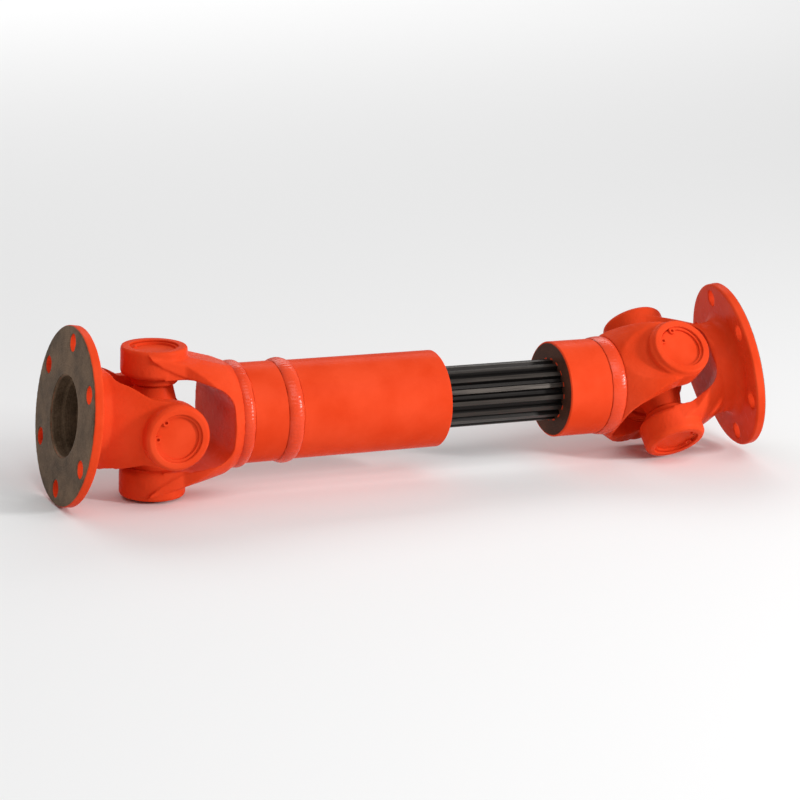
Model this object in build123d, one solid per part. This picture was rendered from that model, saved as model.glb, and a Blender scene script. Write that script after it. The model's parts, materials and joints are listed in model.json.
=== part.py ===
from build123d import *
import os
from collections import namedtuple
from math import cos, pi, radians, sin

# A telescoping universal joint shaft. Millimetres, +Z up, +X along the middle shaft from the sleeve end
# to the splined end. It lies on a surface with both flanges sagged inwards until their rims nearly touch it.
# Each piece is drawn about a joint centre or about the shaft line, then the whole is moved so that the
# origin is the middle of the footprint, on the surface.

# Stations along the shaft line, from the centre of the left joint
TUBE_YOKE_END = 46.5
TUBE_END = 75.0
SLEEVE_END = 171.5
HUB_FACE = 248.3
SHAFT_YOKE_END = 280.6
RIGHT_JOINT = 319.0

# How the two joints are bent, and how far the right yoke is rolled about the shaft line, in degrees
LEFT_CROSS_TURN = 0.5
LEFT_FLANGE_TURN = -6.6
RIGHT_ROLL = 46.8
RIGHT_CROSS_TURN = 2.1
RIGHT_FLANGE_TURN = 14.2

# Flanges
FLANGE_DIAMETER = 100.0
FLANGE_THICKNESS = 5.8
FLANGE_TO_JOINT = 52.0
BOLT_CIRCLE = 82.5
BOLT_COUNT = 6
BOLT_HOLE = 10.0
PILOT_BORE = 44.5
PILOT_DEPTH = 7.0
INNER_BORE = 41.5
INNER_BORE_DEPTH = 15.0
FLANGE_EDGE_CHAMFER = 0.8
ENTRY_CHAMFER = 1.0
NECK_RADIUS = 28.0
NECK_FILLET = 5.0

# Yokes: two ears on one axis, with arms that run back to a round base
EAR_FACE = 42.6
EAR_INNER = 26.0
EAR_RADIUS = 18.7
EAR_TOP_ROUND = 1.6
FLANGE_EAR_TOP_ROUND = 3.0
EAR_BOTTOM_ROUND = 3.2
EAR_SHOULDER = 40.2
EAR_SHOULDER_RADIUS = 18.9
EAR_SHOULDER_OFFSET = 1.0
EAR_SHOULDER_ROUND = 1.2
EAR_BOSS_RADIUS = 18.2
ARM_TOP = 38.8
ARM_START = 10.0
ARM_BULGE = 0.4
ARM_HALF_WIDTH = 18.5
LAND_START = -9.3
LAND_HALF_WIDTH = 19.5
LAND_FOOT = 16.0
LAND_OUTLINE = (
    (ARM_START, ARM_TOP),
    (2.0, 41.2),
    (LAND_START, 41.2),
    (-7.4, 37.9),
    (-1.9, 34.3),
    (4.9, 30.6),
    (11.8, 27.5),
)
ENVELOPE_START = -12.0
ENVELOPE_RADIUS = 45.0
THROAT_HALF_HEIGHT = 19.0
THROAT_ROUND = 13.0
THROAT_SLOPE = 20.0
SLOT_OVERRUN = 2.0
YOKE_BASE_RADIUS = 28.5
YOKE_BASE_LENGTH = 3.0
YOKE_SPIGOT = 8.0
SPIGOT_OVERLAP = 2.0

# A fork's base and throat stations, the station where its arms start to flare, the round shoulder that
# they flare to, a point on their rounded corners, and the radius at which their outer line ends
Fork = namedtuple("Fork", "base_x base_radius throat_x flare_start shoulder corner line_radius")
TUBE_FORK = Fork(TUBE_YOKE_END, YOKE_BASE_RADIUS, 36.6, 12.0, (37.4, 33.6), (20.0, 38.0), 29.6)
SHAFT_FORK = Fork(
    RIGHT_JOINT - SHAFT_YOKE_END, YOKE_BASE_RADIUS, 31.0, 2.0, (35.4, YOKE_BASE_RADIUS), (24.4, 36.6), 29.0
)
FLANGE_BASE = FLANGE_TO_JOINT - FLANGE_THICKNESS - NECK_FILLET
FLANGE_FORK = Fork(FLANGE_BASE, NECK_RADIUS, 31.5, 14.0, (34.0, NECK_RADIUS), (18.0, 35.0), 29.0)

# Bearing cups, needles, seals, thrust washers and circlips
CUP_RADIUS = 13.5
CUP_INNER_RADIUS = 11.0
CUP_MOUTH = 24.5
CUP_FACE = 40.0
CUP_FLOOR = 37.4
CUP_EDGE = 0.6
NEEDLE_RADIUS = 1.5
NEEDLE_COUNT = 18
NEEDLE_START = 25.4
NEEDLE_LENGTH = 10.4
RUNNING_GAP = 0.02
SEAL_FOOT = 21.8
SEAL_RADIUS = 13.2
WASHER_THICKNESS = 1.0
CIRCLIP_THICKNESS = 1.3
CIRCLIP_OUTER = 14.4
CIRCLIP_INNER = 12.0
CIRCLIP_GAP_HALF_ANGLE = 20.0
CIRCLIP_LUG_CIRCLE = 11.6
CIRCLIP_LUG_RADIUS = 1.9
CIRCLIP_LUG_HOLE = 0.9
CIRCLIP_LUG_ANGLE = 6.0
LEFT_CLIP_TURNS = (-5.0, -20.0)
RIGHT_CLIP_TURNS = (128.0, -8.0)

# Cross
TRUNNION_RADIUS = CUP_INNER_RADIUS - 2 * NEEDLE_RADIUS - 2 * RUNNING_GAP
TRUNNION_END = CUP_FLOOR - WASHER_THICKNESS - 0.2
SHOULDER_RADIUS = 9.5
SHOULDER_END = 24.3
CROSS_ROOT_RADIUS = 13.0
CROSS_BODY_RADIUS = 15.0
CROSS_BODY_THICKNESS = 25.0
NIPPLE_SEAT = 18.0
NIPPLE_SEAT_RADIUS = 4.4
NIPPLE_STEM_RADIUS = 2.5
LEFT_NIPPLE_TURN = -135.0
RIGHT_NIPPLE_TURN = 135.0

# Tube, sleeve and their welds
TUBE_RADIUS = 28.5
TUBE_BORE = 22.5
SPIGOT_RADIUS = 22.45
SLEEVE_RADIUS = 28.2
SLEEVE_SPIGOT = 8.0
SLEEVE_SPLINE_START = 104.0
SLEEVE_RELIEF_RADIUS = 19.2
SLEEVE_EDGE_CHAMFER = 0.8
WIPER_RADIUS = 23.5
WIPER_DEPTH = 6.0
PLUG_THICKNESS = 2.5
WELD_HALF_WIDTH = 4.2
WELD_HEIGHT = 2.4
SLEEVE_WELD_HALF_WIDTH = 5.0
SLEEVE_WELD_HEIGHT = 2.1
HUB_WELD_HALF_WIDTH = 5.2
HUB_WELD_HEIGHT = 1.3
HUB_WELD_LEAN = 1.5
WELD_ROOT_DEPTH = 3.2

# Spline: sixteen teeth of module 2
TOOTH_COUNT = 16
SPLINE_TIP_RADIUS = 18.0
SPLINE_ROOT_RADIUS = 15.9
TOOTH_LAND = 2.6
TOOTH_BASE = 4.3
SPLINE_CLEARANCE = 0.08
HUB_TIP_GAP = 0.9
BAR_START = 109.0
BAR_END = 268.0
BAR_CHAMFER = 1.5

# Hub of the splined bar
HUB_RADIUS = 28.4
HUB_EDGE_CHAMFER = 0.6
HUB_COUNTERBORE_START = 269.0
SEALANT_DEPTH = 1.5

PARTS_FOLDER = "parts"


def ring(outer, inner, start, end):
    """A tube about the X axis, from start to end."""
    body = Cylinder(outer, end - start) - Cylinder(inner, end - start)
    return Pos((start + end) / 2, 0, 0) * (Rot(0, 90, 0) * body)


def rod(radius, start, end):
    """A solid bar about the X axis, from start to end."""
    return Pos((start + end) / 2, 0, 0) * (Rot(0, 90, 0) * Cylinder(radius, end - start))


def post(radius, start, end):
    """A solid bar about the Z axis, from start to end."""
    return Pos(0, 0, (start + end) / 2) * Cylinder(radius, end - start)


def turned(points, axis):
    """A closed half-section in the XZ plane, turned about X or Z."""
    outline = make_face(Polyline(*points, close=True))
    return revolve(Plane.XZ * outline, axis)


def both_ends(piece):
    """The piece and its copy on the other end of its axis, as separate solids."""
    solids = piece.solids() + (Rot(180, 0, 0) * piece).solids()
    return Compound(solids)


# Universal joint, drawn about its centre: flange towards -X, inner yoke's ears on Z, flange yoke's ears on Y


def ear(top_round):
    """One plain ear on +Z, without its bore, with rounded upper and lower edges."""
    boss = post(EAR_RADIUS, EAR_INNER, EAR_FACE)
    boss = fillet(boss.edges().group_by(Axis.Z)[-1], top_round)
    return fillet(boss.edges().group_by(Axis.Z)[0], EAR_BOTTOM_ROUND)


def shouldered_ear():
    """One ear on +Z whose face stands on a narrower boss above a shoulder set back towards the base."""
    shoulder = Pos(EAR_SHOULDER_OFFSET, 0, 0) * post(EAR_SHOULDER_RADIUS, EAR_INNER, EAR_SHOULDER)
    shoulder = fillet(shoulder.edges().group_by(Axis.Z)[-1], EAR_SHOULDER_ROUND)
    shoulder = fillet(shoulder.edges().group_by(Axis.Z)[0], EAR_BOTTOM_ROUND)
    boss = post(EAR_BOSS_RADIUS, EAR_INNER, EAR_FACE)
    return shoulder + fillet(boss.edges().group_by(Axis.Z)[-1], EAR_TOP_ROUND)


def arm_side_profile(fork):
    """Seen along Y: the arms' outer line falls from the ears to its end, beside the base."""
    line_end = fork.base_x - YOKE_BASE_LENGTH
    line_middle = ((ARM_START + line_end) / 2, (ARM_TOP + fork.line_radius) / 2 + ARM_BULGE)
    base = (fork.base_x, fork.line_radius)
    edges = [
        Polyline((0, 0), (0, ARM_TOP), (ARM_START, ARM_TOP)),
        ThreePointArc((ARM_START, ARM_TOP), line_middle, (line_end, fork.line_radius)),
        Polyline((line_end, fork.line_radius), base, (fork.base_x, 0), (0, 0)),
    ]
    half = make_face(edges)
    return Plane.XZ * (half + mirror(half, Plane.XZ))


def land_side_profile(fork):
    """Seen along Y: the raised side of the upper arm, from a slanting lower edge across the ear."""
    line_end = fork.base_x - YOKE_BASE_LENGTH
    corners = [(line_end, fork.line_radius), *LAND_OUTLINE, (line_end, LAND_FOOT)]
    return Plane.XZ * make_face(Polyline(*corners, close=True))


def fork_slot_profile(throat_x):
    """Seen along Y: the space between the arms, closing to a rounded throat."""
    mouth = -EAR_RADIUS - SLOT_OVERRUN
    knee = throat_x - THROAT_SLOPE
    corners = [
        (mouth, EAR_INNER),
        (knee, EAR_INNER),
        (throat_x, THROAT_HALF_HEIGHT),
        (throat_x, -THROAT_HALF_HEIGHT),
        (knee, -EAR_INNER),
        (mouth, -EAR_INNER),
    ]
    slot = make_face(Polyline(*corners, close=True))
    throat_corners = slot.vertices().sort_by(Axis.X)[-2:]
    return Plane.XZ * fillet(throat_corners, THROAT_ROUND)


def arm_top_profile(fork, start_x, half_width):
    """Seen along Z: the arms keep their width past the ears, then flare to the shoulder."""
    upper = [
        (start_x, half_width),
        (fork.flare_start, half_width),
        fork.shoulder,
        (fork.base_x, fork.base_radius),
    ]
    lower = [(x, -y) for x, y in reversed(upper)]
    return make_face(Polyline(*upper, *lower, close=True))


def arm_envelope(fork):
    """A turned shape that rounds the arms' corners into the shoulder."""
    start = (ENVELOPE_START, ENVELOPE_RADIUS)
    bend = ThreePointArc(start, fork.corner, fork.shoulder)
    base = (fork.base_x, fork.base_radius)
    outline = Polyline(fork.shoulder, base, (fork.base_x, 0), (ENVELOPE_START, 0), start)
    return revolve(Plane.XZ * make_face([bend, outline]), Axis.X)


def bearing_bore():
    """The bore through both ears, with a groove for each circlip."""
    bore = post(CUP_RADIUS, -EAR_FACE - 1, EAR_FACE + 1)
    groove = post(CIRCLIP_OUTER, CUP_FACE, CUP_FACE + CIRCLIP_THICKNESS)
    return bore + groove + Rot(180, 0, 0) * groove


def yoke(fork, one_ear):
    """A forged fork: ears on Z, open towards -X, with a round base."""
    arms = extrude(arm_side_profile(fork), EAR_FACE, both=True)
    arms &= extrude(arm_top_profile(fork, 0, ARM_HALF_WIDTH), EAR_FACE, both=True)
    arms &= arm_envelope(fork)
    arms += one_ear
    arms += Rot(180, 0, 0) * one_ear
    arms -= extrude(fork_slot_profile(fork.throat_x), EAR_FACE, both=True)
    return arms - bearing_bore()


def arm_lands(fork):
    """The raised sides of both arms, where the forging dies met on a slant."""
    land = extrude(land_side_profile(fork), EAR_FACE, both=True)
    land &= extrude(arm_top_profile(fork, LAND_START, LAND_HALF_WIDTH), EAR_FACE, both=True)
    land &= arm_envelope(fork)
    land -= extrude(fork_slot_profile(fork.throat_x), EAR_FACE, both=True)
    land -= bearing_bore()
    return land + Rot(180, 0, 0) * land


def yoke_spigot(fork):
    """The spigot that centres a yoke in the tube or the hub behind it."""
    return rod(SPIGOT_RADIUS, fork.base_x - SPIGOT_OVERLAP, fork.base_x + YOKE_SPIGOT)


def tube_yoke():
    """The yoke on the sleeve side."""
    return yoke(TUBE_FORK, ear(EAR_TOP_ROUND)) + arm_lands(TUBE_FORK) + yoke_spigot(TUBE_FORK)


def shaft_yoke():
    """The yoke on the splined side."""
    return yoke(SHAFT_FORK, shouldered_ear()) + yoke_spigot(SHAFT_FORK)


def flange_disc():
    """The flange and the concave sweep that joins it to the yoke, before boring."""
    back = FLANGE_THICKNESS - FLANGE_TO_JOINT
    disc = rod(FLANGE_DIAMETER / 2, -FLANGE_TO_JOINT, back)
    disc = chamfer(disc.edges().filter_by(GeomType.CIRCLE), FLANGE_EDGE_CHAMFER)
    sweep_top = NECK_RADIUS + NECK_FILLET
    sweep = CenterArc((back + NECK_FILLET, sweep_top), NECK_FILLET, 180, 90)
    front = Polyline((back + NECK_FILLET, NECK_RADIUS), (back + NECK_FILLET, 0), (back - 1, 0))
    root = Polyline((back - 1, 0), (back - 1, sweep_top), (back, sweep_top))
    return disc + revolve(Plane.XZ * make_face([root, sweep, front]), Axis.X)


def flange_bore():
    """The stepped blind bore in the flange face."""
    face = -FLANGE_TO_JOINT
    pilot = rod(PILOT_BORE / 2, face - 1, face + PILOT_DEPTH)
    inner = rod(INNER_BORE / 2, face, face + INNER_BORE_DEPTH)
    entry = turned(
        [
            (face - 1, 0),
            (face - 1, PILOT_BORE / 2 + ENTRY_CHAMFER + 1),
            (face + ENTRY_CHAMFER, PILOT_BORE / 2),
            (face + ENTRY_CHAMFER, 0),
        ],
        Axis.X,
    )
    return pilot + inner + entry


def bolt_holes():
    """Bolt holes, the first on +Z, halfway round from the ears."""
    hole = rod(BOLT_HOLE / 2, -FLANGE_TO_JOINT - 1, -FLANGE_TO_JOINT + FLANGE_THICKNESS + 1)
    holes = [
        Rot(turn * 360 / BOLT_COUNT, 0, 0) * (Pos(0, 0, BOLT_CIRCLE / 2) * hole)
        for turn in range(BOLT_COUNT)
    ]
    return Compound(holes)


def flange_yoke():
    """Flange and yoke in one forging, with its ears on Y."""
    fork = Rot(90, 0, 0) * (Rot(0, 0, 180) * yoke(FLANGE_FORK, ear(FLANGE_EAR_TOP_ROUND)))
    return fork + flange_disc() - flange_bore() - bolt_holes()


def cross(nipple_turn):
    """Cross with four trunnions, on Y and Z, and a seat for its grease nipple."""
    half = [
        (0, 0),
        (CROSS_ROOT_RADIUS, 0),
        (CROSS_ROOT_RADIUS, 11),
        (SHOULDER_RADIUS + 1.2, 20.5),
        (SHOULDER_RADIUS, 21.5),
        (SHOULDER_RADIUS, SHOULDER_END),
        (TRUNNION_RADIUS, SHOULDER_END),
        (TRUNNION_RADIUS, TRUNNION_END - 1),
        (TRUNNION_RADIUS - 1, TRUNNION_END),
        (0, TRUNNION_END),
    ]
    trunnion = turned(half, Axis.Z)
    body = rod(CROSS_BODY_RADIUS, -CROSS_BODY_THICKNESS / 2, CROSS_BODY_THICKNESS / 2)
    body = chamfer(body.edges().filter_by(GeomType.CIRCLE), 2.5)
    for turn in range(4):
        body += Rot(turn * 90, 0, 0) * trunnion
    hole = post(NIPPLE_STEM_RADIUS, NIPPLE_SEAT - 4, NIPPLE_SEAT + 1)
    spot_face = post(NIPPLE_SEAT_RADIUS, NIPPLE_SEAT, NIPPLE_SEAT + 8)
    return body - Rot(nipple_turn, 0, 0) * (hole + spot_face)


def grease_nipple(nipple_turn):
    """Grease nipple between two trunnions, nipple_turn from +Z about X."""
    half = [
        (0, NIPPLE_SEAT - 4),
        (NIPPLE_STEM_RADIUS, NIPPLE_SEAT - 4),
        (NIPPLE_STEM_RADIUS, NIPPLE_SEAT),
        (3.6, NIPPLE_SEAT),
        (3.6, NIPPLE_SEAT + 3),
        (2.2, NIPPLE_SEAT + 3.8),
        (2.2, NIPPLE_SEAT + 5),
        (3.0, NIPPLE_SEAT + 6.2),
        (3.0, NIPPLE_SEAT + 7),
        (1.2, NIPPLE_SEAT + 9),
        (0, NIPPLE_SEAT + 9),
    ]
    return Rot(nipple_turn, 0, 0) * turned(half, Axis.Z)


def bearing_cup():
    """Bearing cup on +Z, open towards the cross."""
    half = [
        (0, CUP_FLOOR),
        (CUP_INNER_RADIUS, CUP_FLOOR),
        (CUP_INNER_RADIUS, CUP_MOUTH),
        (CUP_RADIUS, CUP_MOUTH),
        (CUP_RADIUS, CUP_FACE - CUP_EDGE),
        (CUP_RADIUS - CUP_EDGE, CUP_FACE),
        (0, CUP_FACE),
    ]
    return turned(half, Axis.Z)


def needle_set():
    """Needle rollers round one trunnion."""
    orbit = TRUNNION_RADIUS + RUNNING_GAP + NEEDLE_RADIUS
    needle = Pos(orbit, 0, 0) * post(NEEDLE_RADIUS, NEEDLE_START, NEEDLE_START + NEEDLE_LENGTH)
    needles = [Rot(0, 0, turn * 360 / NEEDLE_COUNT) * needle for turn in range(NEEDLE_COUNT)]
    return Compound(needles)


def cup_seal():
    """Rubber seal between a cup's mouth and the cross."""
    half = [
        (SHOULDER_RADIUS + 0.1, SEAL_FOOT),
        (SEAL_RADIUS - 0.8, SEAL_FOOT),
        (SEAL_RADIUS, SEAL_FOOT + 0.8),
        (SEAL_RADIUS, CUP_MOUTH),
        (SHOULDER_RADIUS + 0.1, CUP_MOUTH),
    ]
    return turned(half, Axis.Z)


def thrust_washer():
    """Washer between a trunnion's end and the cup's floor."""
    return post(TRUNNION_RADIUS - 0.8, CUP_FLOOR - 0.1 - WASHER_THICKNESS, CUP_FLOOR - 0.1)


def circlip(gap_turn):
    """Internal circlip on +Z: an open ring with two lugs, its gap gap_turn degrees round from -X."""
    top = CUP_FACE + CIRCLIP_THICKNESS
    body = post(CIRCLIP_OUTER, CUP_FACE, top) - post(CIRCLIP_INNER, CUP_FACE, top)
    reach = 2 * CIRCLIP_OUTER
    side = reach * sin(radians(CIRCLIP_GAP_HALF_ANGLE))
    gap = make_face(Polyline((0, 0), (-reach, side), (-reach, -side), close=True))
    body -= Pos(0, 0, CUP_FACE) * extrude(gap, CIRCLIP_THICKNESS)
    for sign in (-1, 1):
        angle = radians(180 + sign * (CIRCLIP_GAP_HALF_ANGLE + CIRCLIP_LUG_ANGLE))
        centre = Pos(CIRCLIP_LUG_CIRCLE * cos(angle), CIRCLIP_LUG_CIRCLE * sin(angle), 0)
        body += centre * post(CIRCLIP_LUG_RADIUS, CUP_FACE, top)
        body -= centre * post(CIRCLIP_LUG_HOLE, CUP_FACE, top)
    return Rot(0, 0, gap_turn) * body


def bearing_pieces(gap_turn):
    """The pieces of one bearing, on +Z."""
    return {
        "bearing_cup": bearing_cup(),
        "seal": cup_seal(),
        "circlip": circlip(gap_turn),
        "thrust_washer": thrust_washer(),
    }


# Middle shaft, drawn about the X axis with the left joint at x = 0


def weld(centre, radius, half_width, height, lean):
    """A weld ring: a crown above the surface, its top lean off the middle, and a V-shaped root below."""
    crown = ThreePointArc((-half_width, radius), (lean, radius + height), (half_width, radius))
    if lean:
        crown = Spline((-half_width, radius), (lean, radius + height), (half_width, radius))
    root = Polyline((half_width, radius), (0, radius - WELD_ROOT_DEPTH), (-half_width, radius))
    section = Plane.XZ * make_face([crown, root])
    return Pos(centre, 0, 0) * revolve(section, Axis.X)


def at_angle(radius, angle):
    """The point at a radius and angle, in the plane."""
    return radius * cos(angle), radius * sin(angle)


def spline_profile(tip, root, growth):
    """Cross-section of the spline; growth widens every tooth, for an internal spline."""
    pitch = 2 * pi / TOOTH_COUNT
    land_half = (TOOTH_LAND / 2 + growth) / tip
    base_half = (TOOTH_BASE / 2 + growth) / root
    edges = []
    for tooth in range(TOOTH_COUNT):
        middle = tooth * pitch
        tip_start, tip_end = at_angle(tip, middle - land_half), at_angle(tip, middle + land_half)
        base_start, base_end = at_angle(root, middle - base_half), at_angle(root, middle + base_half)
        next_base = at_angle(root, middle + pitch - base_half)
        edges.append(Line(base_start, tip_start))
        edges.append(ThreePointArc(tip_start, at_angle(tip, middle), tip_end))
        edges.append(Line(tip_end, base_end))
        edges.append(ThreePointArc(base_end, at_angle(root, middle + pitch / 2), next_base))
    return make_face(edges)


def spline_prism(tip, root, growth, start, end):
    """The spline's cross-section drawn along X from start to end."""
    profile = spline_profile(tip, root, growth)
    return Pos(start, 0, 0) * (Rot(0, 90, 0) * extrude(profile, end - start))


def splined_bar():
    """The splined bar, chamfered at both ends."""
    bar = spline_prism(SPLINE_TIP_RADIUS, SPLINE_ROOT_RADIUS, 0, BAR_START, BAR_END)
    ends = [
        (BAR_START, 0),
        (BAR_START, SPLINE_TIP_RADIUS - BAR_CHAMFER),
        (BAR_START + BAR_CHAMFER, SPLINE_TIP_RADIUS + 1),
        (BAR_END - BAR_CHAMFER, SPLINE_TIP_RADIUS + 1),
        (BAR_END, SPLINE_TIP_RADIUS - BAR_CHAMFER),
        (BAR_END, 0),
    ]
    return bar & turned(ends, Axis.X)


def short_tube():
    """The plain tube between the tube yoke and the sleeve."""
    return ring(TUBE_RADIUS, TUBE_BORE, TUBE_YOKE_END, TUBE_END)


def spline_sleeve():
    """The sleeve, with an internal spline, a relief behind it and a seat for the wiper."""
    body = rod(SLEEVE_RADIUS, TUBE_END, SLEEVE_END)
    body = chamfer(body.edges().filter_by(GeomType.CIRCLE).sort_by(Axis.X)[-1], SLEEVE_EDGE_CHAMFER)
    body += rod(SPIGOT_RADIUS, TUBE_END - SLEEVE_SPIGOT, TUBE_END + 1)
    body -= rod(SLEEVE_RELIEF_RADIUS, TUBE_END - SLEEVE_SPIGOT - 1, SLEEVE_SPLINE_START)
    tip = SPLINE_TIP_RADIUS + 0.4
    root = SPLINE_ROOT_RADIUS + SPLINE_CLEARANCE
    body -= spline_prism(tip, root, SPLINE_CLEARANCE, SLEEVE_SPLINE_START - 1, SLEEVE_END + 1)
    return body - rod(WIPER_RADIUS, SLEEVE_END - WIPER_DEPTH, SLEEVE_END + 1)


def core_plug():
    """Plug that closes the sleeve's inner end and keeps the grease in."""
    start = TUBE_END - SLEEVE_SPIGOT + 0.5
    return rod(SLEEVE_RELIEF_RADIUS, start, start + PLUG_THICKNESS)


def sleeve_wiper():
    """Rubber wiper in the sleeve's mouth, cut to the spline's shape."""
    body = rod(WIPER_RADIUS, SLEEVE_END - WIPER_DEPTH, SLEEVE_END - 0.6)
    tip = SPLINE_TIP_RADIUS + SPLINE_CLEARANCE
    root = SPLINE_ROOT_RADIUS + SPLINE_CLEARANCE
    return body - spline_prism(tip, root, SPLINE_CLEARANCE, SLEEVE_END - WIPER_DEPTH - 1, SLEEVE_END)


def hub():
    """The hub that holds the splined bar."""
    body = rod(HUB_RADIUS, HUB_FACE, SHAFT_YOKE_END)
    body = chamfer(body.edges().filter_by(GeomType.CIRCLE).sort_by(Axis.X)[0], HUB_EDGE_CHAMFER)
    tip = SPLINE_TIP_RADIUS + HUB_TIP_GAP
    body -= spline_prism(tip, SPLINE_ROOT_RADIUS, 0, HUB_FACE - 1, HUB_COUNTERBORE_START + 1)
    return body - rod(SPIGOT_RADIUS, HUB_COUNTERBORE_START, SHAFT_YOKE_END + 1)


def hub_sealant():
    """Sealant in the gaps over the tooth tips, at the hub's face."""
    end = HUB_FACE + SEALANT_DEPTH
    tip = SPLINE_TIP_RADIUS + HUB_TIP_GAP
    gaps = spline_prism(tip, SPLINE_ROOT_RADIUS, 0, HUB_FACE, end)
    return gaps - rod(SPLINE_TIP_RADIUS, HUB_FACE - 1, end + 1)


# Assembly


def joint_places(centre_x, roll, cross_turn, flange_turn, facing):
    """Where a joint's inner yoke, cross and flange yoke stand: the cross turns in the inner yoke, then the
    flange yoke turns on the cross."""
    yoke_place = Pos(centre_x, 0, 0) * Rot(roll, 0, 0)
    cross_place = yoke_place * Rot(0, 0, cross_turn)
    flange_place = cross_place * Rot(0, -flange_turn, 0)
    face = Rot(0, 0, facing)
    return yoke_place * face, cross_place * face, flange_place * face


def joint_pieces(side, inner_name, places, inner_piece, nipple_turn, gap_turns):
    """Every piece of one universal joint, placed, by node name; gap_turns set the inner yoke's circlips
    and the flange yoke's."""
    yoke_place, cross_place, flange_place = places
    on_flange = flange_place * Rot(90, 0, 0)
    pieces = {
        f"{side}_flange_yoke": flange_place * flange_yoke(),
        f"{side}_cross": cross_place * cross(nipple_turn),
        f"{side}_grease_nipple": cross_place * grease_nipple(nipple_turn),
        inner_name: yoke_place * inner_piece,
    }
    inner_turn, flange_turn = gap_turns
    for name, piece in bearing_pieces(inner_turn).items():
        pieces[f"{inner_name}_{name}s"] = yoke_place * both_ends(piece)
    for name, piece in bearing_pieces(flange_turn).items():
        pieces[f"{side}_flange_{name}s"] = on_flange * both_ends(piece)
    pieces[f"{inner_name}_needles"] = yoke_place * both_ends(needle_set())
    pieces[f"{side}_flange_needles"] = on_flange * both_ends(needle_set())
    return pieces


def middle_pieces():
    """The welded sleeve half and the splined half, between the two yokes."""
    yoke_weld = weld(TUBE_YOKE_END, TUBE_RADIUS, WELD_HALF_WIDTH, WELD_HEIGHT, 0)
    sleeve_weld = weld(TUBE_END, SLEEVE_RADIUS, SLEEVE_WELD_HALF_WIDTH, SLEEVE_WELD_HEIGHT, 0)
    hub_weld = weld(SHAFT_YOKE_END, HUB_RADIUS, HUB_WELD_HALF_WIDTH, HUB_WELD_HEIGHT, HUB_WELD_LEAN)
    return {
        "tube_yoke_weld": yoke_weld,
        "short_tube": short_tube() - yoke_weld - sleeve_weld,
        "sleeve_weld": sleeve_weld,
        "spline_sleeve": spline_sleeve() - sleeve_weld,
        "sleeve_core_plug": core_plug(),
        "sleeve_wiper": sleeve_wiper(),
        "splined_bar": splined_bar(),
        "hub": hub() - hub_weld,
        "hub_sealant": hub_sealant(),
        "hub_weld": hub_weld,
    }


def all_pieces():
    """Every node of the shaft, about the left joint's centre."""
    pieces = middle_pieces()
    left = joint_places(0, 0, LEFT_CROSS_TURN, LEFT_FLANGE_TURN, 0)
    right = joint_places(RIGHT_JOINT, RIGHT_ROLL, RIGHT_CROSS_TURN, RIGHT_FLANGE_TURN, 180)
    pieces.update(joint_pieces("left", "tube_yoke", left, tube_yoke(), LEFT_NIPPLE_TURN, LEFT_CLIP_TURNS))
    pieces.update(
        joint_pieces("right", "shaft_yoke", right, shaft_yoke(), RIGHT_NIPPLE_TURN, RIGHT_CLIP_TURNS)
    )
    pieces["tube_yoke"] -= pieces["tube_yoke_weld"]
    pieces["shaft_yoke"] -= pieces["hub_weld"]
    return pieces


def write_pieces(pieces):
    """Move the footprint's middle to the origin and write one file per node."""
    box = Compound(list(pieces.values())).bounding_box()
    shift = Pos(-box.center().X, -box.center().Y, -box.min.Z)
    os.makedirs(PARTS_FOLDER, exist_ok=True)
    for name, piece in pieces.items():
        export_step(shift * piece, os.path.join(PARTS_FOLDER, name + ".step"))
    return shift


PLACED = write_pieces(all_pieces())
print("left joint centre is at", PLACED.position)
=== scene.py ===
import json
import math

import bpy
import numpy as np
from mathutils import Matrix, Vector, noise
from mathutils.bvhtree import BVHTree


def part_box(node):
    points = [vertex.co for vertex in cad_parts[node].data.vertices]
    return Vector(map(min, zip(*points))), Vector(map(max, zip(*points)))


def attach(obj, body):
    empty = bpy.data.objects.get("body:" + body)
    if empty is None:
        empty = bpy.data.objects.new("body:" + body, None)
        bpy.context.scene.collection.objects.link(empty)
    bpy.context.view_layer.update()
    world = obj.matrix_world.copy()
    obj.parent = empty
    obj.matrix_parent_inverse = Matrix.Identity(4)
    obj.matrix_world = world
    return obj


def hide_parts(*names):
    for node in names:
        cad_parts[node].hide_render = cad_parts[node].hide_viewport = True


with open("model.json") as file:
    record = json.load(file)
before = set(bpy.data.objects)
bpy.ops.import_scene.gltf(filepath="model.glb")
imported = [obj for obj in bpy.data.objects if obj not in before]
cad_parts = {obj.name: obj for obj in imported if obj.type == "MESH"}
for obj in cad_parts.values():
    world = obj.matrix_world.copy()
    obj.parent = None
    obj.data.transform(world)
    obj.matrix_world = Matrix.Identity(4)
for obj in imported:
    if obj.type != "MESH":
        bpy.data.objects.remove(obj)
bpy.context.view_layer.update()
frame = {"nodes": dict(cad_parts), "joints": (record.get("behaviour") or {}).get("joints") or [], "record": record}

MM = 0.001
NODES = frame["nodes"]
JOINTS = {joint["name"]: joint for joint in frame["joints"]}
MOUNTS = {mount["name"]: mount for mount in frame["record"]["mounts"]}
LEFT_JOINT = Vector(JOINTS["left_cross_turn"]["pos_m"])
RIGHT_JOINT = Vector(JOINTS["right_cross_turn"]["pos_m"])

# Camera, placed about the left joint's centre
CAMERA_AIM = LEFT_JOINT + Vector((150.69, 0.0, 0.33)) * MM
CAMERA_AZIMUTH = -24.84
CAMERA_ELEVATION = 14.58
CAMERA_ROLL = 2.26
CAMERA_DISTANCE = 1.5174
CAMERA_LENS = 117.9
SENSOR_WIDTH = 36.0

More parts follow.
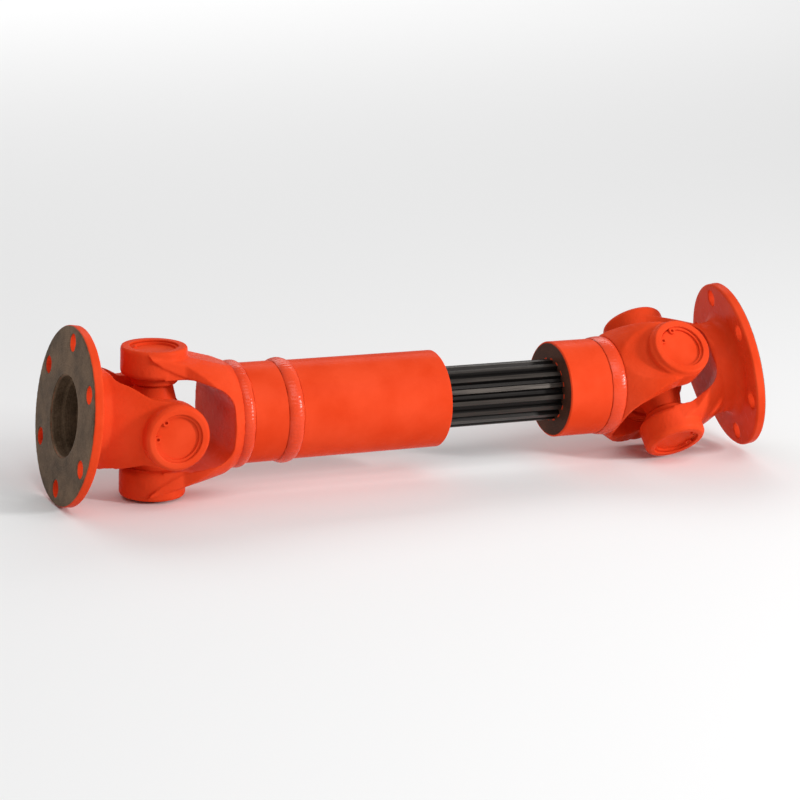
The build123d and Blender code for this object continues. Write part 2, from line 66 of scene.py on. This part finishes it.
# Colours, linear
PAINT = (0.780, 0.070, 0.021)
PAINT_DEEP = (0.700, 0.051, 0.012)
PAINT_GLOSS = 0.012
BEAD_GLOSS = 0.22
FACE_STEEL = (0.230, 0.150, 0.095)
FACE_STEEL_DARK = (0.045, 0.028, 0.016)
HUB_STEEL = (0.125, 0.052, 0.034)
HUB_STEEL_DARK = (0.050, 0.024, 0.016)
SPLINE_BLACK = (0.012, 0.010, 0.009)
SPLINE_LAND = (0.060, 0.050, 0.043)
NEEDLE_STEEL = (0.55, 0.55, 0.57)
RUBBER_BLACK = (0.02, 0.02, 0.02)
NYLON = (0.62, 0.58, 0.46)

# Skins of the forgings: how fine, how soft, how rough
SKIN_VOXEL = 0.5 * MM
SMOOTHING_PASSES = 6
WEIGHT_PASSES = 3
CAST_DEPTH = 0.22 * MM
BROAD_RELIEF = 9.0 * MM
FINE_RELIEF = 1.7 * MM

# Machined places on a forging, from the joint's centre or in from the flange's face
BEARING_BORE_RADIUS = 14.6 * MM
BEARING_BORE_START = 25.0 * MM
EAR_FACE_HEIGHT = 42.3 * MM
FLANGE_DEPTH = 6.3 * MM
FLANGE_BORE_RADIUS = 23.2 * MM
FLANGE_BORE_DEPTH = 16.5 * MM
BARE_BORE_RADIUS = 22.8 * MM
HUB_PAINT_EDGE = 27.8 * MM
HUB_BORE_RADIUS = 19.5 * MM
SPLINE_LAND_RADIUS = 17.8 * MM

# Weld beads
BEAD_STEPS_AROUND = 480
BEAD_STEPS_ACROSS = 14
BEAD_ROOT = 0.7 * MM
BEAD_ROUGHNESS = 0.06 * MM
BEAD_EDGE_WANDER = 0.35 * MM
BEAD_SKEW = 0.2 * MM

# Studio: the floor, and each light's place, target, size and power
FLOOR_REACH = 6.0
FLOOR_TONE = 0.86
WORLD_STRENGTH = 0.34
LIGHTS = (
    ("window", (1.30, -1.20, 0.62), (0, 0, 0.05), (0.18, 0.36), 22),
    ("overhead", (0.15, -1.15, 1.50), (0, 0, 0.04), (1.6, 1.0), 15),
    ("backdrop", (0.0, 3.2, 2.4), (0, 3.2, 0), (5.0, 2.6), 95),
)


# Shader helpers


def new_material(name):
    material = bpy.data.materials.new(name)
    material.use_nodes = True
    return material, material.node_tree.nodes, material.node_tree.links


def shader_of(nodes):
    return nodes["Principled BSDF"]


def object_position(nodes):
    return nodes.new("ShaderNodeTexCoord").outputs["Object"]


def noise_texture(nodes, links, vector, scale, detail=3.0, roughness=0.5):
    texture = nodes.new("ShaderNodeTexNoise")
    texture.inputs["Scale"].default_value = scale
    texture.inputs["Detail"].default_value = detail
    texture.inputs["Roughness"].default_value = roughness
    links.new(vector, texture.inputs["Vector"])
    return texture.outputs["Fac"]


def remap(nodes, links, value, low, high, out_low=0.0, out_high=1.0):
    """Map a value's range low..high to out_low..out_high, clamped."""
    node = nodes.new("ShaderNodeMapRange")
    node.inputs["From Min"].default_value = low
    node.inputs["From Max"].default_value = high
    node.inputs["To Min"].default_value = out_low
    node.inputs["To Max"].default_value = out_high
    links.new(value, node.inputs["Value"])
    return node.outputs["Result"]


def math_node(nodes, links, operation, first, second=None):
    """A maths node on sockets or numbers."""
    node = nodes.new("ShaderNodeMath")
    node.operation = operation
    for index, value in enumerate((first, second)):
        if value is None:
            continue
        if isinstance(value, (int, float)):
            node.inputs[index].default_value = value
        else:
            links.new(value, node.inputs[index])
    return node.outputs["Value"]


def vector_node(nodes, links, operation, first, second=None):
    """A vector maths node on sockets or tuples; gives the node."""
    node = nodes.new("ShaderNodeVectorMath")
    node.operation = operation
    for index, value in enumerate((first, second)):
        if value is None:
            continue
        if isinstance(value, (tuple, Vector)):
            node.inputs[index].default_value = value
        else:
            links.new(value, node.inputs[index])
    return node


def mix_colour(nodes, links, factor, first, second):
    """Mix two colours, each a tuple or a socket."""
    node = nodes.new("ShaderNodeMix")
    node.data_type = "RGBA"
    links.new(factor, node.inputs["Factor"])
    for socket, colour in ((node.inputs[6], first), (node.inputs[7], second)):
        if isinstance(colour, tuple):
            socket.default_value = (*colour, 1.0)
        else:
            links.new(colour, socket)
    return node.outputs[2]


def mix_value(nodes, links, factor, first, second):
    """first where the factor is 0, second where it is 1; each a number or a socket."""
    change = math_node(nodes, links, "SUBTRACT", second, first)
    scaled = math_node(nodes, links, "MULTIPLY", factor, change)
    return math_node(nodes, links, "ADD", scaled, first)


def bump(nodes, links, height, strength, distance, normal=None):
    """Bump of a height; strength is a number or a socket."""
    node = nodes.new("ShaderNodeBump")
    if isinstance(strength, (int, float)):
        node.inputs["Strength"].default_value = strength
    else:
        links.new(strength, node.inputs["Strength"])
    node.inputs["Distance"].default_value = distance
    links.new(height, node.inputs["Height"])
    if normal is not None:
        links.new(normal, node.inputs["Normal"])
    return node.outputs["Normal"]


def axial_place(nodes, links, origin, axis):
    """Distance along an axis from its origin, and distance from the axis, in metres."""
    offset = vector_node(nodes, links, "SUBTRACT", object_position(nodes), origin).outputs["Vector"]
    along = vector_node(nodes, links, "DOT_PRODUCT", offset, axis).outputs["Value"]
    across = vector_node(nodes, links, "CROSS_PRODUCT", offset, axis).outputs["Vector"]
    return along, vector_node(nodes, links, "LENGTH", across).outputs["Value"]


# Surfaces: each gives a colour, a roughness and a normal


def enamel_surface(nodes, links, cast):
    """Orange red enamel with orange peel; cast is the strength of the forging's skin below it."""
    place = object_position(nodes)
    patch = noise_texture(nodes, links, place, 38.0, 4.0)
    colour = mix_colour(nodes, links, remap(nodes, links, patch, 0.35, 0.65), PAINT_DEEP, PAINT)
    rough = remap(nodes, links, noise_texture(nodes, links, place, 170.0), 0.3, 0.7, 0.20, 0.30)
    normal = bump(nodes, links, noise_texture(nodes, links, place, 700.0, 2.0), 0.16, 0.3 * MM)
    if cast:
        pits = noise_texture(nodes, links, place, 520.0, 5.0, 0.62)
        normal = bump(nodes, links, pits, 0.38 * cast, 0.5 * MM, normal)
    return colour, rough, normal


def machined_surface(nodes, links, along, radial, bright, dark):
    """Bare turned steel, dull with oil and rust bloom, with fine turning marks."""
    place = object_position(nodes)
    stain = noise_texture(nodes, links, place, 60.0, 6.0, 0.6)
    speck = noise_texture(nodes, links, place, 900.0, 2.0)
    blend = math_node(nodes, links, "ADD", math_node(nodes, links, "MULTIPLY", speck, 0.35), stain)
    grooves = nodes.new("ShaderNodeTexNoise")
    grooves.noise_dimensions = "1D"
    grooves.inputs["Scale"].default_value = 2400.0
    grooves.inputs["Detail"].default_value = 2.0
    links.new(math_node(nodes, links, "ADD", along, radial), grooves.inputs["W"])
    marks = math_node(nodes, links, "MULTIPLY", grooves.outputs["Fac"], 0.4)
    blend = math_node(nodes, links, "ADD", blend, marks)
    colour = mix_colour(nodes, links, remap(nodes, links, blend, 0.62, 1.08), dark, bright)
    normal = bump(nodes, links, grooves.outputs["Fac"], 0.35, 0.12 * MM)
    rough = remap(nodes, links, stain, 0.3, 0.7, 0.36, 0.5)
    return colour, rough, normal


def wire_mix(nodes, links, bare, painted, machined):
    """Paint where bare is 0 and metal where it is 1."""
    shader = shader_of(nodes)
    links.new(mix_colour(nodes, links, bare, painted[0], machined[0]), shader.inputs["Base Color"])
    links.new(mix_value(nodes, links, bare, painted[1], machined[1]), shader.inputs["Roughness"])
    normal = nodes.new("ShaderNodeMix")
    normal.data_type = "VECTOR"
    links.new(bare, normal.inputs["Factor"])
    links.new(painted[2], normal.inputs[4])
    links.new(machined[2], normal.inputs[5])
    links.new(normal.outputs[1], shader.inputs["Normal"])
    links.new(math_node(nodes, links, "MULTIPLY", bare, 0.2), shader.inputs["Metallic"])
    shader.inputs["Specular IOR Level"].default_value = PAINT_GLOSS


def enamel(name, cast, gloss):
    material, nodes, links = new_material(name)
    colour, rough, normal = enamel_surface(nodes, links, cast)
    shader = shader_of(nodes)
    links.new(colour, shader.inputs["Base Color"])
    links.new(rough, shader.inputs["Roughness"])
    links.new(normal, shader.inputs["Normal"])
    shader.inputs["Specular IOR Level"].default_value = gloss
    return material


def ragged_edge(nodes, links, scale, reach):
    """How far the paint's edge wanders, up to reach."""
    wander = noise_texture(nodes, links, object_position(nodes), scale)
    return math_node(nodes, links, "MULTIPLY", wander, reach)


def flange_material(name, face, cast):
    """Enamel on a flange yoke, with its outer face and its bore left bare."""
    material, nodes, links = new_material(name)
    origin, axis = Vector(MOUNTS[face]["pos_m"]), Vector(MOUNTS[face]["axis"])
    joint = LEFT_JOINT if face.startswith("left") else RIGHT_JOINT
    centre = joint + axis * (origin - joint).dot(axis)
    along, radial = axial_place(nodes, links, centre, axis)
    edge = math_node(nodes, links, "ADD", along, ragged_edge(nodes, links, 300.0, 0.5 * MM))
    on_face = remap(nodes, links, edge, -0.35 * MM, -0.15 * MM)
    in_bore = remap(nodes, links, radial, BARE_BORE_RADIUS + 0.1 * MM, BARE_BORE_RADIUS - 0.1 * MM)
    deep = remap(nodes, links, along, -17.0 * MM, -16.0 * MM)
    bore = math_node(nodes, links, "MULTIPLY", in_bore, deep)
    bare = math_node(nodes, links, "MAXIMUM", on_face, bore)
    painted = enamel_surface(nodes, links, cast)
    machined = machined_surface(nodes, links, along, radial, FACE_STEEL, FACE_STEEL_DARK)
    wire_mix(nodes, links, bare, painted, machined)
    return material


def hub_material():
    """Enamel on the hub, with its spline face left bare inside a thin painted edge."""
    material, nodes, links = new_material("hub_enamel")
    face = Vector((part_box("hub")[0][0], LEFT_JOINT.y, LEFT_JOINT.z))
    along, radial = axial_place(nodes, links, face, Vector((-1, 0, 0)))
    edge = math_node(nodes, links, "ADD", radial, ragged_edge(nodes, links, 260.0, 0.8 * MM))
    on_face = remap(nodes, links, along, -0.25 * MM, -0.1 * MM)
    inside = remap(nodes, links, edge, HUB_PAINT_EDGE + 0.2 * MM, HUB_PAINT_EDGE - 0.2 * MM)
    in_bore = remap(nodes, links, radial, HUB_BORE_RADIUS + 0.1 * MM, HUB_BORE_RADIUS - 0.1 * MM)
    bare_face = math_node(nodes, links, "MULTIPLY", on_face, inside)
    bare = math_node(nodes, links, "MAXIMUM", bare_face, in_bore)
    painted = enamel_surface(nodes, links, 0.0)
    machined = machined_surface(nodes, links, along, radial, HUB_STEEL, HUB_STEEL_DARK)
    wire_mix(nodes, links, bare, painted, machined)
    return material


def spline_material():
    """Blackened, oiled spline whose tooth lands have worn lighter."""
    material, nodes, links = new_material("black_spline")
    shader = shader_of(nodes)
    along, radial = axial_place(nodes, links, LEFT_JOINT, Vector((1, 0, 0)))
    place = object_position(nodes)
    streak = nodes.new("ShaderNodeMapping")
    streak.inputs["Scale"].default_value = (40.0, 900.0, 900.0)
    links.new(place, streak.inputs["Vector"])
    drawn = noise_texture(nodes, links, streak.outputs["Vector"], 1.0, 3.0)
    land = remap(nodes, links, radial, SPLINE_LAND_RADIUS - 0.2 * MM, SPLINE_LAND_RADIUS + 0.15 * MM)
    patchy = remap(nodes, links, drawn, 0.3, 0.6, 0.45, 1.0)
    wear = math_node(nodes, links, "MULTIPLY", land, patchy)
    colour = mix_colour(nodes, links, wear, SPLINE_BLACK, SPLINE_LAND)
    links.new(colour, shader.inputs["Base Color"])
    links.new(remap(nodes, links, drawn, 0.3, 0.7, 0.28, 0.42), shader.inputs["Roughness"])
    links.new(bump(nodes, links, drawn, 0.25, 0.15 * MM), shader.inputs["Normal"])
    shader.inputs["Metallic"].default_value = 0.75
    return material


def plain_material(name, colour, roughness, metallic):
    """A hidden or small piece's finish: faint mottling in colour and roughness."""
    material, nodes, links = new_material(name)
    shader = shader_of(nodes)
    patch = noise_texture(nodes, links, object_position(nodes), 240.0, 4.0)
    dark = tuple(value * 0.75 for value in colour)
    rough = remap(nodes, links, patch, 0.3, 0.7, roughness - 0.06, roughness + 0.06)
    links.new(mix_colour(nodes, links, patch, dark, colour), shader.inputs["Base Color"])
    links.new(rough, shader.inputs["Roughness"])
    shader.inputs["Metallic"].default_value = metallic
    return material


# Skins of the forgings


def remeshed(node_name):
    """The CAD node's surface as an even fine mesh."""
    probe = bpy.data.objects.new(node_name + "_probe", NODES[node_name].data.copy())
    bpy.context.scene.collection.objects.link(probe)
    modifier = probe.modifiers.new("remesh", "REMESH")
    modifier.mode = "VOXEL"
    modifier.voxel_size = SKIN_VOXEL
    graph = bpy.context.evaluated_depsgraph_get()
    mesh = bpy.data.meshes.new_from_object(probe.evaluated_get(graph))
    bpy.data.objects.remove(probe)
    return mesh


def read_points(mesh):
    points = np.empty(len(mesh.vertices) * 3)
    mesh.vertices.foreach_get("co", points)
    return points.reshape(-1, 3)


def read_edges(mesh):
    edges = np.empty(len(mesh.edges) * 2, dtype=np.int64)
    mesh.edges.foreach_get("vertices", edges)
    return edges.reshape(-1, 2)


def relaxed(points, edges, weight, passes):
    """Move each point towards the mean of its neighbours, by its weight."""
    count = len(points)
    starts = np.concatenate((edges[:, 0], edges[:, 1]))
    ends = np.concatenate((edges[:, 1], edges[:, 0]))
    valence = np.maximum(np.bincount(starts, minlength=count), 1)
    for _ in range(passes):
        mean = np.empty_like(points)
        for column in range(points.shape[1]):
            mean[:, column] = np.bincount(starts, points[ends, column], minlength=count) / valence
        points = points + (mean - points) * (0.5 * weight)[:, None]
    return points


def snapped(points, surface, chosen):
    """Put the chosen points back on the CAD surface."""
    points = points.copy()
    for index in np.flatnonzero(chosen):
        points[index] = surface.find_nearest(points[index])[0]
    return points


def cast_relief(points, weight, seed):
    """How deep the forging's surface dips at each point, in metres."""
    offset = Vector((seed * 3.7, seed * 1.9, seed * 2.3))
    depths = np.zeros(len(points))
    for index in np.flatnonzero(weight > 0.02):
        place = Vector(points[index])
        broad = noise.noise(place / BROAD_RELIEF + offset)
        grain = noise.noise(place / FINE_RELIEF + offset)
        depths[index] = (0.5 + 0.32 * broad + 0.28 * grain) * CAST_DEPTH
    return np.clip(depths, 0, 1.2 * CAST_DEPTH) * weight


def cast_weight(points, ear_axis, centre, face):
    """1 on the forging's skin, 0 on its machined faces, bores and flange."""
    offset = points - np.array(centre)
    axis = np.array(ear_axis) / np.linalg.norm(ear_axis)
    height = np.abs(offset @ axis)
    radial = np.linalg.norm(np.cross(offset, axis), axis=1)
    weight = np.ones(len(points))
    weight[(radial < BEARING_BORE_RADIUS) & (height > BEARING_BORE_START)] = 0
    weight[height > EAR_FACE_HEIGHT] = 0
    if face:
        origin, out = np.array(MOUNTS[face]["pos_m"]), np.array(MOUNTS[face]["axis"])
        depth = (origin - points) @ out
        across = np.linalg.norm(np.cross(offset, out), axis=1)
        weight[depth < FLANGE_DEPTH] = 0
        weight[(across < FLANGE_BORE_RADIUS) & (depth < FLANGE_BORE_DEPTH)] = 0
    return weight


def forged_skin(node_name, body, ear_joint, face, material, seed):
    """A CAD forging with rounded edges and a rough skin, its machined faces left as they are."""
    node = NODES[node_name]
    mesh = remeshed(node_name)
    mesh.name = node_name + "_skin"
    points, edges = read_points(mesh), read_edges(mesh)
    joint = JOINTS[ear_joint]
    cast = cast_weight(points, joint["axis"], joint["pos_m"], face)
    surface = BVHTree.FromObject(node, bpy.context.evaluated_depsgraph_get())
    soft = relaxed(cast[:, None], edges, np.ones(len(cast)), WEIGHT_PASSES)[:, 0]
    points = relaxed(points, edges, soft, SMOOTHING_PASSES)
    points = snapped(points, surface, cast < 0.5)
    mesh.vertices.foreach_set("co", points.ravel())
    mesh.update()
    normals = np.empty(len(points) * 3)
    mesh.vertices.foreach_get("normal", normals)
    depths = cast_relief(points, soft * cast, seed)
    points = points - normals.reshape(-1, 3) * depths[:, None]
    mesh.vertices.foreach_set("co", points.ravel())
    mesh.materials.clear()
    mesh.materials.append(material)
    mesh.shade_smooth()
    mesh.update()
    skin = bpy.data.objects.new(node_name + "_skin", mesh)
    bpy.context.scene.collection.objects.link(skin)
    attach(skin, body)
    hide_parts(node_name)


# Weld rings


def node_radius(node_name):
    """The radius of a round node on the shaft line."""
    low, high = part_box(node_name)
    return (high[2] - low[2]) / 2


def weld_bead(node_name, body, base, ripples, ripple_depth, lump_depth, lean, material, seed):
    """A weld ring on the round node base: a closed rippled bead that stays inside its CAD crown."""
    low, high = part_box(node_name)
    centre_x, half_width = (low[0] + high[0]) / 2, (high[0] - low[0]) / 2
    base_radius = node_radius(base)
    height = node_radius(node_name) - base_radius
    around, across = BEAD_STEPS_AROUND, BEAD_STEPS_ACROSS
    points, faces = [], []
    for step in range(around):
        angle = 2 * math.pi * step / around
        ring = Vector((math.cos(angle), math.sin(angle), seed * 0.37))
        wander = 0.5 + 0.5 * noise.noise(ring * 5.0)
        for row in range(across + 1):
            side = 2 * row / across - 1
            arch = (1 - abs(side) ** 2.2) ** 0.75
            tilt = 1 - lean * 0.5 * (1 - side)
            phase = ripples * angle + 2.2 * side * side
            dip = ripple_depth * (0.5 + 0.5 * math.cos(phase)) + lump_depth * wander
            rough = BEAD_ROUGHNESS * (1 + noise.noise(ring * 60.0 + Vector((side * 4, 0, 0))))
            radius = base_radius + height * arch * tilt - (dip + rough) * arch
            edge = BEAD_EDGE_WANDER * noise.noise(ring * 7.0 + Vector((0, side, 3.0)))
            x = centre_x + half_width * side - edge * side - side * BEAD_SKEW
            points.append((x, LEFT_JOINT.y + radius * ring.x, LEFT_JOINT.z + radius * ring.y))
        inner = base_radius - BEAD_ROOT
        points.append((centre_x, LEFT_JOINT.y + inner * ring.x, LEFT_JOINT.z + inner * ring.y))
    width = across + 2
    for step in range(around):
        here, after = step * width, ((step + 1) % around) * width
        for row in range(width):
            turn = (row + 1) % width
            faces.append((here + row, after + row, after + turn, here + turn))
    mesh = bpy.data.meshes.new(node_name + "_bead")
    mesh.from_pydata(points, [], faces)
    mesh.materials.append(material)
    mesh.shade_smooth()
    bead = bpy.data.objects.new(node_name + "_bead", mesh)
    bpy.context.scene.collection.objects.link(bead)
    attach(bead, body)
    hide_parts(node_name)


# Floor, light and camera


def build_floor():
    mesh = bpy.data.meshes.new("floor")
    signs = ((-1, -1), (1, -1), (1, 1), (-1, 1))
    corners = [(FLOOR_REACH * x, FLOOR_REACH * y, 0) for x, y in signs]
    mesh.from_pydata(corners, [], [(0, 1, 2, 3)])
    floor = bpy.data.objects.new("floor", mesh)
    bpy.context.scene.collection.objects.link(floor)
    material, nodes, _ = new_material("floor")
    shader_of(nodes).inputs["Base Color"].default_value = (FLOOR_TONE, FLOOR_TONE, FLOOR_TONE, 1)
    shader_of(nodes).inputs["Roughness"].default_value = 0.9
    mesh.materials.append(material)


def area_light(name, place, target, size, power):
    light = bpy.data.lights.new(name, "AREA")
    light.shape = "RECTANGLE"
    light.size, light.size_y = size
    light.energy = power
    holder = bpy.data.objects.new(name, light)
    holder.location = place
    holder.rotation_euler = (Vector(target) - Vector(place)).to_track_quat("-Z", "Y").to_euler()
    bpy.context.scene.collection.objects.link(holder)


def build_light():
    world = bpy.data.worlds.new("studio")
    bpy.context.scene.world = world
    world.use_nodes = True
    background = world.node_tree.nodes["Background"]
    background.inputs["Color"].default_value = (1, 1, 1, 1)
    background.inputs["Strength"].default_value = WORLD_STRENGTH
    for light in LIGHTS:
        area_light(*light)
    bpy.context.scene.view_settings.view_transform = "Standard"


def build_camera():
    azimuth, elevation = math.radians(CAMERA_AZIMUTH), math.radians(CAMERA_ELEVATION)
    back = Vector((
        math.sin(azimuth) * math.cos(elevation),
        -math.cos(azimuth) * math.cos(elevation),
        math.sin(elevation),
    ))
    data = bpy.data.cameras.new("camera")
    data.sensor_width = SENSOR_WIDTH
    data.lens = CAMERA_LENS
    camera = bpy.data.objects.new("camera", data)
    turn = (-back).to_track_quat("-Z", "Y").to_matrix()
    roll = Matrix.Rotation(math.radians(CAMERA_ROLL), 3, back)
    place = Matrix.Translation(CAMERA_AIM + back * CAMERA_DISTANCE)
    camera.matrix_world = place @ (roll @ turn).to_4x4()
    bpy.context.scene.collection.objects.link(camera)
    bpy.context.scene.camera = camera


def dress():
    """Materials on the CAD nodes, skins on the forgings and beads on the welds."""
    smooth_red = enamel("enamel_on_machined", 0.0, PAINT_GLOSS)
    cast_red = enamel("enamel_on_forging", 1.0, PAINT_GLOSS)
    bead_red = enamel("enamel_on_weld", 0.4, BEAD_GLOSS)
    by_slot = {
        "red_enamel": smooth_red,
        "painted_seal": smooth_red,
        "black_steel": spline_material(),
        "bearing_steel": plain_material("bearing_steel", NEEDLE_STEEL, 0.2, 1.0),
        "plain_steel": plain_material("plain_steel", FACE_STEEL, 0.45, 0.9),
        "seal_rubber": plain_material("seal_rubber", RUBBER_BLACK, 0.6, 0.0),
        "washer_plastic": plain_material("washer_plastic", NYLON, 0.5, 0.0),
    }
    for part in frame["record"]["subparts"]:
        mesh = NODES[part["node"]].data
        mesh.materials.clear()
        mesh.materials.append(by_slot.get(part["material_slot"], smooth_red))
    hub = NODES["hub"].data
    hub.materials.clear()
    hub.materials.append(hub_material())
    left_flange = flange_material("left_flange_enamel", "left_flange_face", 0.7)
    right_flange = flange_material("right_flange_enamel", "right_flange_face", 0.7)
    skins = (
        ("left_flange_yoke", "left_flange", "left_flange_turn", "left_flange_face", left_flange),
        ("tube_yoke", "sleeve_half", "left_cross_turn", None, cast_red),
        ("shaft_yoke", "splined_half", "right_cross_turn", None, cast_red),
        ("right_flange_yoke", "right_flange", "right_flange_turn", "right_flange_face", right_flange),
    )
    for seed, skin in enumerate(skins, 1):
        forged_skin(*skin, seed)
    beads = (
        ("tube_yoke_weld", "sleeve_half", "short_tube", 95, 0.12 * MM, 0.5 * MM, 0.0),
        ("sleeve_weld", "sleeve_half", "spline_sleeve", 80, 0.10 * MM, 0.35 * MM, 0.0),
        ("hub_weld", "splined_half", "hub", 90, 0.06 * MM, 0.15 * MM, 0.35),
    )
    for seed, bead in enumerate(beads, 1):
        weld_bead(*bead, bead_red, seed)


build_camera()
build_light()
build_floor()
dress()
